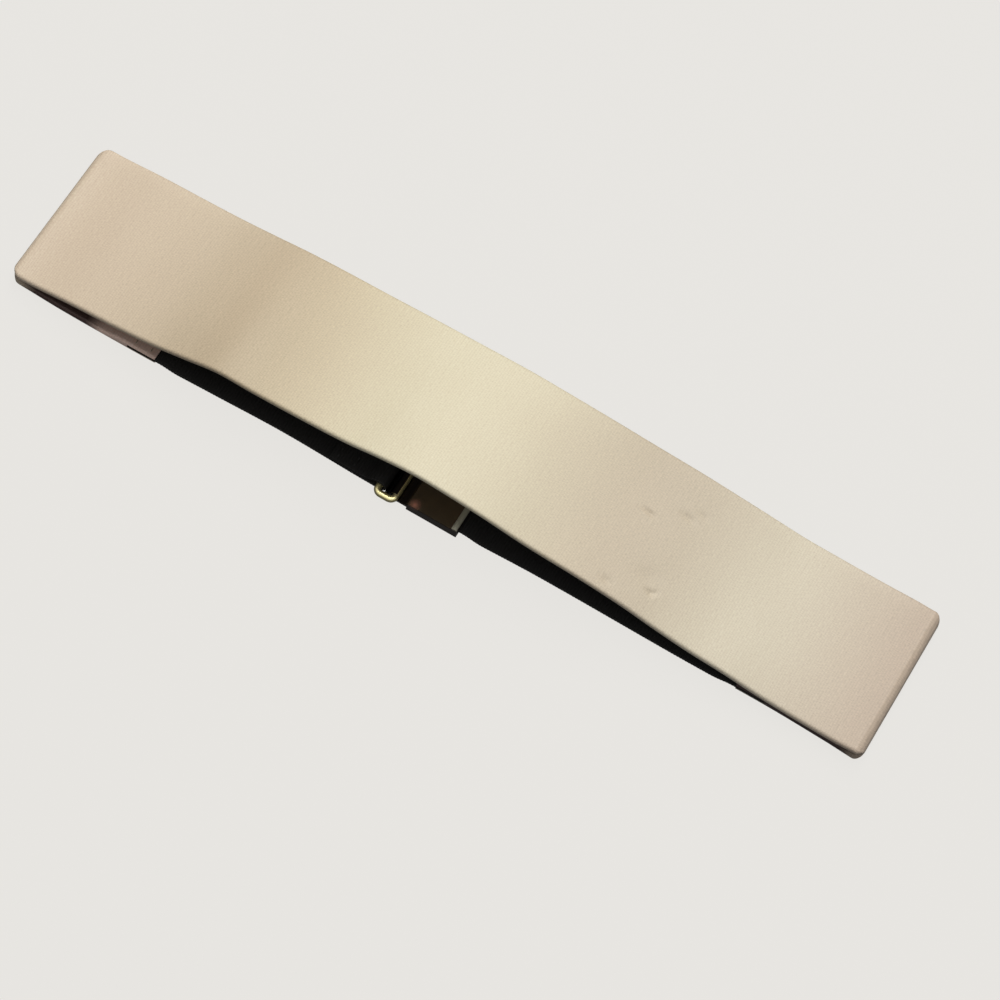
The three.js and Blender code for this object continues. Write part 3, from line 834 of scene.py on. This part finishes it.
tan_thread = thread_material("tan_thread", (0.62, 0.5, 0.36))
black_thread = thread_material("black_thread", (0.012, 0.012, 0.011))
left_end = -half_loop + left_tab
right_end = half_loop - right_tab
for name, rows in (
    ("left_sewn_stitches", (left_end - 2.5, left_end - 8.5)),
    ("right_sewn_stitches", (right_end + 2.5, right_end + 8.5)),
):
    both_faces = [(along, sewn_thickness - 0.02, 1) for along in rows] + [(along, 0.21, -1) for along in rows]
    stitch_rows(name, both_faces, tan_thread)
eye_rows = [(crotch - 3.0, on_strip + elastic_thickness / 2 - 0.02, 1), (crotch - 9.5, on_strip + elastic_thickness / 2 - 0.02, 1)]
eye_rows += [(along, 0.21, -1) for along, _, _ in eye_rows]
stitch_rows("eye_stitches", eye_rows, black_thread)


# Clasp ring. A closed ring of round gold-plated wire, bent to a long rectangle whose ends stand
# out past the elastic. The eye of the left elastic holds one long bar and the hook the other.
ring_corner = 3.2
ring_reach = 3.3
ring_width = band_width + 2 * ring_reach
bpy.ops.object.select_all(action="DESELECT")
bpy.ops.mesh.primitive_torus_add(
    major_segments=56, minor_segments=24, major_radius=0.001 * (ring_corner - bar_radius), minor_radius=0.001 * bar_radius
)
clasp_ring = bpy.context.object
clasp_ring.name = "gold_ring"
bpy.ops.object.mode_set(mode="EDIT")
bpy.ops.mesh.select_all(action="SELECT")
bpy.ops.transform.rotate(
    value=math.pi / 56, orient_axis="Z", center_override=(0, 0, 0)
)
bpy.ops.object.mode_set(mode="OBJECT")
for side_x in (-1, 1):
    for side_y in (-1, 1):
        co = np.empty(len(clasp_ring.data.vertices) * 3)
        clasp_ring.data.vertices.foreach_get("co", co)
        co = co.reshape(-1, 3)
        quarter = (co[:, 0] * side_x > 0) & (co[:, 1] * side_y > 0)
        bpy.ops.object.mode_set(mode="EDIT")
        bpy.ops.mesh.select_all(action="DESELECT")
        bpy.ops.object.mode_set(mode="OBJECT")
        clasp_ring.data.vertices.foreach_set("select", quarter)
        bpy.ops.object.mode_set(mode="EDIT")
        bpy.ops.transform.translate(value=(
            0.001 * side_x * (ring_length / 2 - ring_corner), 0.001 * side_y * (ring_width / 2 - ring_corner), 0
        ))
        bpy.ops.object.mode_set(mode="OBJECT")
bpy.ops.object.mode_set(mode="EDIT")
bpy.ops.mesh.select_all(action="SELECT")
bpy.ops.transform.translate(value=(0.001 * ring_place, 0, 0.001 * bar_height))
bpy.ops.object.mode_set(mode="OBJECT")
bpy.ops.object.shade_smooth()


def metal_wear_group():
    """Wear of thin plating: slow cloudy patches for the gloss, and fine scratches along X."""
    group = bpy.data.node_groups.new("metal_wear", "ShaderNodeTree")
    face = group.interface
    face.new_socket("Cloud Scale", in_out="INPUT", socket_type="NodeSocketFloat")
    face.new_socket("Clouds", in_out="OUTPUT", socket_type="NodeSocketFloat")
    face.new_socket("Scratches", in_out="OUTPUT", socket_type="NodeSocketFloat")
    entry = add_node(group, "NodeGroupInput", (-900, 0))
    exit_node = add_node(group, "NodeGroupOutput", (300, 0))
    where = add_node(group, "ShaderNodeTexCoord", (-900, 300))
    clouds = add_node(group, "ShaderNodeTexNoise", (-400, 200))
    clouds.inputs["Detail"].default_value = 4.0
    group.links.new(where.outputs["Object"], clouds.inputs["Vector"])
    group.links.new(entry.outputs["Cloud Scale"], clouds.inputs["Scale"])
    stretch = add_node(group, "ShaderNodeVectorMath", (-650, -200), operation="MULTIPLY")
    stretch.inputs[1].default_value = (150, 2400, 2400)
    group.links.new(where.outputs["Object"], stretch.inputs[0])
    scratches = add_node(group, "ShaderNodeTexNoise", (-400, -200))
    scratches.inputs["Scale"].default_value = 1.0
    scratches.inputs["Detail"].default_value = 2.0
    group.links.new(stretch.outputs[0], scratches.inputs["Vector"])
    group.links.new(clouds.outputs[0], exit_node.inputs["Clouds"])
    group.links.new(scratches.outputs[0], exit_node.inputs["Scratches"])
    return group


metal_wear = metal_wear_group()


def plated_metal(name, bright, dull, smooth, rough, cloud_scale):
    """Plated metal whose colour and gloss drift between two states, with faint scratches."""
    material = bpy.data.materials.new(name)
    material.use_nodes = True
    tree = material.node_tree
    shader = tree.nodes["Principled BSDF"]
    wear = add_node(tree, "ShaderNodeGroup", (-900, 0), node_tree=metal_wear)
    wear.inputs["Cloud Scale"].default_value = cloud_scale
    colour = add_node(tree, "ShaderNodeMix", (-500, 300), data_type="RGBA")
    colour.inputs[6].default_value = (*bright, 1)
    colour.inputs[7].default_value = (*dull, 1)
    tree.links.new(wear.outputs["Clouds"], colour.inputs[0])
    tree.links.new(colour.outputs[2], shader.inputs["Base Color"])
    gloss = add_node(tree, "ShaderNodeMapRange", (-500, 0))
    gloss.inputs["From Min"].default_value = 0.3
    gloss.inputs["From Max"].default_value = 0.7
    gloss.inputs["To Min"].default_value = smooth
    gloss.inputs["To Max"].default_value = rough
    tree.links.new(wear.outputs["Clouds"], gloss.inputs["Value"])
    tree.links.new(gloss.outputs[0], shader.inputs["Roughness"])
    relief = add_node(tree, "ShaderNodeBump", (-500, -300))
    relief.inputs["Distance"].default_value = 0.000004
    tree.links.new(wear.outputs["Scratches"], relief.inputs["Height"])
    tree.links.new(relief.outputs[0], shader.inputs["Normal"])
    shader.inputs["Metallic"].default_value = 1.0
    return material


gold_plate = plated_metal("gold_plating", (1.0, 0.92, 0.5), (0.95, 0.82, 0.42), 0.28, 0.36, 300)
gold_plate.node_tree.nodes["Principled BSDF"].inputs["Metallic"].default_value = 0.9
clasp_ring.data.materials.append(gold_plate)
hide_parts("clasp_ring")
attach(clasp_ring, "root")


# Hook plate. Pressed metal with thin bronze-coloured plating. Its hook curls over the ring's near
# bar, and its wider body is folded over the end of the right elastic, closed at both sides, with
# a raised lip at the mouth. The curl and the sides carry painted shade, the top of the lip is
# paler, partly worn plating and partly a painted highlight, and a soft reddish spot by the near
# edge is a painted reflection.
sheet = 1.0
hook_tip = 78.0
channel_room = 0.6
cheek = 0.6
lip_length = 2.4
lip_height = 0.7
edge_rounding = 0.16
corner_rounding = 0.5
channel_width = band_width + 2 * channel_room
plate_width = channel_width + 2 * cheek
hook_width = ring_width - 4 * bar_radius - 2 * fit
inner_bend = bar_radius + fit
eye_reach = inner_bend + elastic_thickness + fit / 3
outer_bend = inner_bend + sheet
floor_level = bar_height - inner_bend
under = bar_height - outer_bend
channel_top = floor_level + elastic_thickness + 2 * fit
plate_top = channel_top + sheet
base_start = ring_far_bar + math.sqrt(eye_reach**2 - inner_bend**2)


def folded_metal(name, outline, width):
    """Solid whose outline in the XZ plane runs a width across the belt: a ring of vertices laid
    on the outline, filled and extruded."""
    bpy.ops.object.select_all(action="DESELECT")
    bpy.ops.mesh.primitive_circle_add(vertices=len(outline), radius=0.01, fill_type="NOTHING")
    piece = bpy.context.object
    piece.name = name
    places = np.array([(x, -width / 2, z) for x, z in outline]) * 0.001
    piece.data.vertices.foreach_set("co", places.ravel())
    bpy.ops.object.mode_set(mode="EDIT")
    bpy.ops.mesh.select_all(action="SELECT")
    bpy.ops.mesh.edge_face_add()
    bpy.ops.mesh.extrude_region_move(TRANSFORM_OT_translate={"value": (0, 0.001 * width, 0)})
    bpy.ops.mesh.select_all(action="SELECT")
    bpy.ops.mesh.normals_make_consistent(inside=False)
    bpy.ops.object.mode_set(mode="OBJECT")
    return piece


def join_or_cut(piece, operation, low, high):
    """Joins a plain block between two corners to a piece, or cuts it away."""
    bpy.ops.object.select_all(action="DESELECT")
    bpy.ops.mesh.primitive_cube_add(size=0.001)
    block = bpy.context.object
    bpy.ops.object.mode_set(mode="EDIT")
    bpy.ops.transform.resize(value=[b - a for a, b in zip(low, high)])
    bpy.ops.transform.translate(value=[0.0005 * (a + b) for a, b in zip(low, high)])
    bpy.ops.object.mode_set(mode="OBJECT")
    bpy.context.view_layer.objects.active = piece
    change = piece.modifiers.new("change", "BOOLEAN")
    change.operation = operation
    change.object = block
    bpy.ops.object.modifier_apply(modifier="change")
    bpy.data.objects.remove(block)


def round_edges(piece, width, steps, test):
    """Bevels the edges of a piece whose middle, in millimetres, and fold angle pass the test."""
    bpy.ops.object.select_all(action="DESELECT")
    piece.select_set(True)
    bpy.context.view_layer.objects.active = piece
    bpy.ops.object.mode_set(mode="EDIT")
    bpy.ops.mesh.select_mode(type="EDGE")
    bpy.ops.mesh.select_all(action="DESELECT")
    bpy.ops.mesh.edges_select_sharp(sharpness=math.radians(40))
    bpy.ops.object.mode_set(mode="OBJECT")
    places = piece.data.vertices
    for edge in piece.data.edges:
        middle = (places[edge.vertices[0]].co + places[edge.vertices[1]].co) * 500
        edge.select = edge.select and test(middle)
    for face in piece.data.polygons:
        face.select = False
    bpy.ops.object.mode_set(mode="EDIT")
    bpy.ops.mesh.bevel(offset=0.001 * width, offset_type="OFFSET", segments=steps, clamp_overlap=True)
    bpy.ops.object.mode_set(mode="OBJECT")


inner_arc = arc((ring_hook_bar, bar_height), inner_bend, -90, hook_tip - 360)[::3]
outer_arc = arc(
    (ring_hook_bar, bar_height), outer_bend, hook_tip, 180 + math.degrees(math.asin(inner_bend / outer_bend))
)[::3]
lip_arc = [
    (
        plate_end - lip_length / 2 + lip_length / 2 * math.cos(turn),
        plate_top + lip_height * math.sin(turn),
    )
    for turn in np.linspace(0, math.pi, 13)
]
top_corner = arc((web_start + sheet / 2, plate_top - sheet / 2), sheet / 2, 90, 180)[::12]
plate_outline = [(plate_end, under), (plate_end, floor_level), (web_end, floor_level), (web_end, channel_top)]
plate_outline += [(plate_end, channel_top), *lip_arc, *top_corner, (web_start, floor_level)]
plate_outline += [*inner_arc, *outer_arc, (base_start, floor_level), (base_start, under)]
hook_plate = folded_metal("hook_plate", plate_outline, plate_width)
for side in (-1, 1):
    beside = sorted((side * hook_width / 2, side * (plate_width / 2 + 1)))
    join_or_cut(
        hook_plate, "DIFFERENCE",
        (base_start - 1, beside[0], under - 1), (web_start, beside[1], plate_top + 2),
    )
    wall = sorted((side * channel_width / 2, side * plate_width / 2))
    join_or_cut(
        hook_plate, "UNION",
        (web_end - 0.3, wall[0], floor_level - 0.3), (plate_end, wall[1], channel_top + 0.3),
    )
bpy.ops.object.mode_set(mode="EDIT")
bpy.ops.mesh.select_all(action="SELECT")
bpy.ops.mesh.remove_doubles(threshold=1e-6)
bpy.ops.mesh.dissolve_limited(angle_limit=math.radians(0.5))
bpy.ops.object.mode_set(mode="OBJECT")
round_edges(
    hook_plate, corner_rounding, 5,
    lambda middle: middle.x > plate_end - 0.01 and abs(middle.y) > plate_width / 2 - 0.01,
)
round_edges(
    hook_plate, edge_rounding, 2,
    lambda middle: middle.x < web_end - 0.01
    or abs(middle.y) > channel_width / 2 + 0.05
    or not floor_level - 0.05 < middle.z < channel_top + 0.05,
)
bpy.ops.object.shade_smooth_by_angle(angle=math.radians(35))


def plating_wear_and_painted_light(material, pale_metal, wear_roughness, marks):
    """Ages plating and paints light on it: painted shade, a dark colour on the curl and the sides;
    pale dull metal above a level, partly worn plating and partly a painted highlight; and soft
    spots of another colour with less metal, which are painted reflections. A mark is a place, how
    far it reaches each way, and its colour."""
    tree = material.node_tree
    links = tree.links
    shader = tree.nodes["Principled BSDF"]
    plating = shader.inputs["Base Color"].links[0].from_socket
    gloss = shader.inputs["Roughness"].links[0].from_socket
    where = add_node(tree, "ShaderNodeTexCoord", (-1500, 900))

    def less_metal(fade, share, before):
        node = add_node(tree, "ShaderNodeMath", (-300, 600), operation="MULTIPLY_ADD", use_clamp=True)
        links.new(fade, node.inputs[0])
        node.inputs[1].default_value = -share
        if before is None:
            node.inputs[2].default_value = 1.0
        else:
            links.new(before, node.inputs[2])
        return node.outputs[0]

    metal = None
    # Each mark is a painted reflection: a soft spot tinted towards its colour, with less metal.
    for place, reach, colour in marks:
        spot = add_node(tree, "ShaderNodeMapping", (-1300, 900), vector_type="TEXTURE")
        spot.inputs["Location"].default_value = [0.001 * value for value in place]
        spot.inputs["Scale"].default_value = [0.001 * value for value in reach]
        links.new(where.outputs["Object"], spot.inputs["Vector"])
        fade = add_node(tree, "ShaderNodeTexGradient", (-1100, 900), gradient_type="SPHERICAL")
        links.new(spot.outputs[0], fade.inputs[0])
        tinted = add_node(tree, "ShaderNodeMix", (-900, 900), data_type="RGBA")
        links.new(fade.outputs["Fac"], tinted.inputs[0])
        links.new(plating, tinted.inputs[6])
        tinted.inputs[7].default_value = (*colour, 1)
        plating = tinted.outputs[2]
        metal = less_metal(fade.outputs["Fac"], 0.8, metal)
    axes = add_node(tree, "ShaderNodeSeparateXYZ", (-1300, 1200))
    links.new(where.outputs["Object"], axes.inputs[0])
    curl = add_node(tree, "ShaderNodeMapRange", (-1100, 1500))
    curl.inputs["From Min"].default_value = 0.001 * (web_start - 1.0)
    curl.inputs["From Max"].default_value = 0.001 * (web_start + 0.5)
    links.new(axes.outputs["X"], curl.inputs["Value"])
    across = add_node(tree, "ShaderNodeMath", (-1200, 1700), operation="ABSOLUTE")
    links.new(axes.outputs["Y"], across.inputs[0])
    side = add_node(tree, "ShaderNodeMapRange", (-1100, 1800))
    side.inputs["From Min"].default_value = 0.001 * (plate_width / 2 - 0.45)
    side.inputs["From Max"].default_value = 0.001 * (plate_width / 2 - 0.1)
    side.inputs["To Max"].default_value = 0.75
    links.new(across.outputs[0], side.inputs["Value"])
    unshaded = add_node(tree, "ShaderNodeMath", (-1000, 1600), operation="SUBTRACT", use_clamp=True)
    links.new(curl.outputs[0], unshaded.inputs[0])
    links.new(side.outputs[0], unshaded.inputs[1])
    # Painted shade: the curl, and the sides in part, are darkened towards a near-black brown.
    painted_shade_mix = add_node(tree, "ShaderNodeMix", (-850, 1200), data_type="RGBA")
    links.new(unshaded.outputs[0], painted_shade_mix.inputs[0])
    painted_shade_mix.inputs[6].default_value = (0.07, 0.06, 0.066, 1)
    links.new(plating, painted_shade_mix.inputs[7])
    plating = painted_shade_mix.outputs[2]
    # Paler, duller metal on the lip's top: partly worn plating and partly a painted highlight where the lip catches the
    # lamp overhead.
    worn_and_lit_top = add_node(tree, "ShaderNodeMapRange", (-1100, 1200))
    worn_and_lit_top.inputs["From Min"].default_value = 0.001 * (plate_top + 0.15)
    worn_and_lit_top.inputs["From Max"].default_value = 0.001 * (plate_top + 0.5)
    links.new(axes.outputs["Z"], worn_and_lit_top.inputs["Value"])
    bare_and_lit = add_node(tree, "ShaderNodeMath", (-850, 1400), operation="MULTIPLY")
    links.new(worn_and_lit_top.outputs[0], bare_and_lit.inputs[0])
    links.new(unshaded.outputs[0], bare_and_lit.inputs[1])
    shade = add_node(tree, "ShaderNodeMix", (-700, 1000), data_type="RGBA")
    links.new(bare_and_lit.outputs[0], shade.inputs[0])
    links.new(plating, shade.inputs[6])
    shade.inputs[7].default_value = (*pale_metal, 1)
    links.new(shade.outputs[2], shader.inputs["Base Color"])
    rough = add_node(tree, "ShaderNodeMix", (-700, 1300), data_type="FLOAT")
    links.new(bare_and_lit.outputs[0], rough.inputs[0])
    links.new(gloss, rough.inputs[2])
    rough.inputs[3].default_value = wear_roughness
    links.new(rough.outputs[0], shader.inputs["Roughness"])
    metal = less_metal(bare_and_lit.outputs[0], 0.6, metal)
    links.new(metal, shader.inputs["Metallic"])


bronze_plate = plated_metal("aged_plating_painted_light", (0.36, 0.29, 0.23), (0.26, 0.21, 0.17), 0.14, 0.24, 160)
# The mark is a painted reflection of the tan band: a soft reddish spot on the plate's top by its near edge.
plating_wear_and_painted_light(bronze_plate, (0.6, 0.58, 0.46), 0.45, [((-4.7, -29.8, 4.0), (2.6, 2.8, 2.2), (0.85, 0.36, 0.25))])
hook_plate.data.materials.clear()
hook_plate.data.materials.append(bronze_plate)
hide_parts("clasp_hook")
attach(hook_plate, "root")
